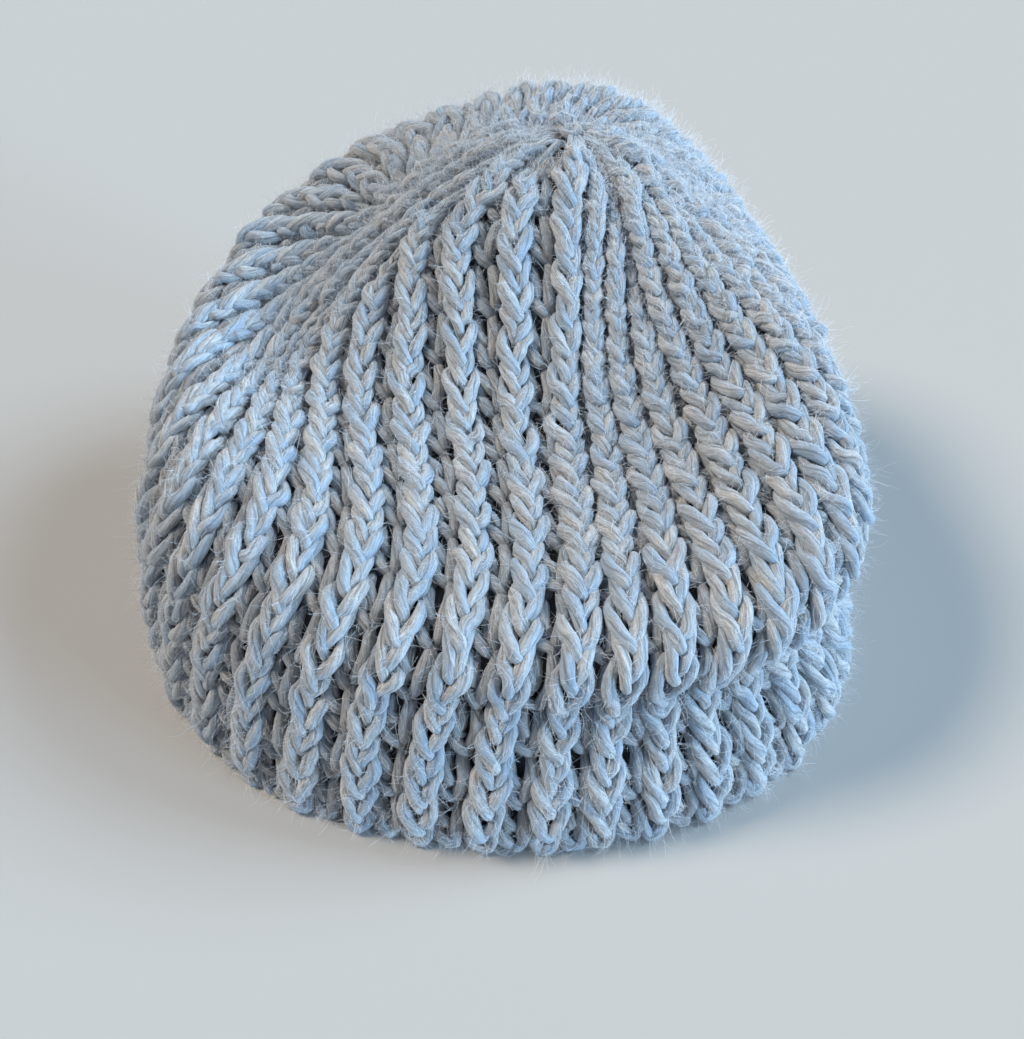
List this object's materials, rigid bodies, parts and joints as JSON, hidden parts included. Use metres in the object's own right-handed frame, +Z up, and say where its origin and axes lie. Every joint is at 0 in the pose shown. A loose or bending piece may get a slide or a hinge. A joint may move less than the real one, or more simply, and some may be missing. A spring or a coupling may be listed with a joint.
{
  "type": "crocheted slouchy hat",
  "caption": "Slouchy ribbed hat crocheted in thick soft yarn, standing slumped on its open hem with a tucked brim and a gathered crown.",
  "frame": {"origin": "bottom centre of the hat's box, on the surface that the hem stands on", "axes": "+Z up from the hem to the crown, -Y towards the front where the brim shows, +X to the right side where the brim is tucked"},
  "size_m": [0.2022, 0.2036, 0.1136],
  "materials": {
    "rib_yarn": "soft fuzzy yarn, light blue-grey",
    "ground_yarn": "the same yarn in the shade between the ribs",
    "edge_yarn": "soft fuzzy yarn, light blue-grey"
  },
  "bodies": {
    "root": {"crown_ring": "edge_yarn", "crown_ground": "ground_yarn", "body_ground": "ground_yarn", "brim_ground": "ground_yarn", "hem_edge": "edge_yarn", "rib_01": "rib_yarn", "rib_02": "rib_yarn", "rib_03": "rib_yarn", "rib_04": "rib_yarn", "rib_05": "rib_yarn", "rib_06": "rib_yarn", "rib_07": "rib_yarn", "rib_08": "rib_yarn", "rib_09": "rib_yarn", "rib_10": "rib_yarn", "rib_11": "rib_yarn", "rib_12": "rib_yarn", "rib_13": "rib_yarn", "rib_14": "rib_yarn", "rib_15": "rib_yarn", "rib_16": "rib_yarn", "rib_17": "rib_yarn", "rib_18": "rib_yarn", "rib_19": "rib_yarn", "rib_20": "rib_yarn", "rib_21": "rib_yarn", "rib_22": "rib_yarn", "rib_23": "rib_yarn", "rib_24": "rib_yarn", "rib_25": "rib_yarn", "rib_26": "rib_yarn", "rib_27": "rib_yarn", "rib_28": "rib_yarn", "rib_29": "rib_yarn", "rib_30": "rib_yarn", "rib_31": "rib_yarn", "rib_32": "rib_yarn", "rib_33": "rib_yarn", "rib_34": "rib_yarn", "rib_35": "rib_yarn", "rib_36": "rib_yarn", "rib_37": "rib_yarn", "rib_38": "rib_yarn", "rib_39": "rib_yarn", "rib_40": "rib_yarn"}
  },
  "joints": []
}
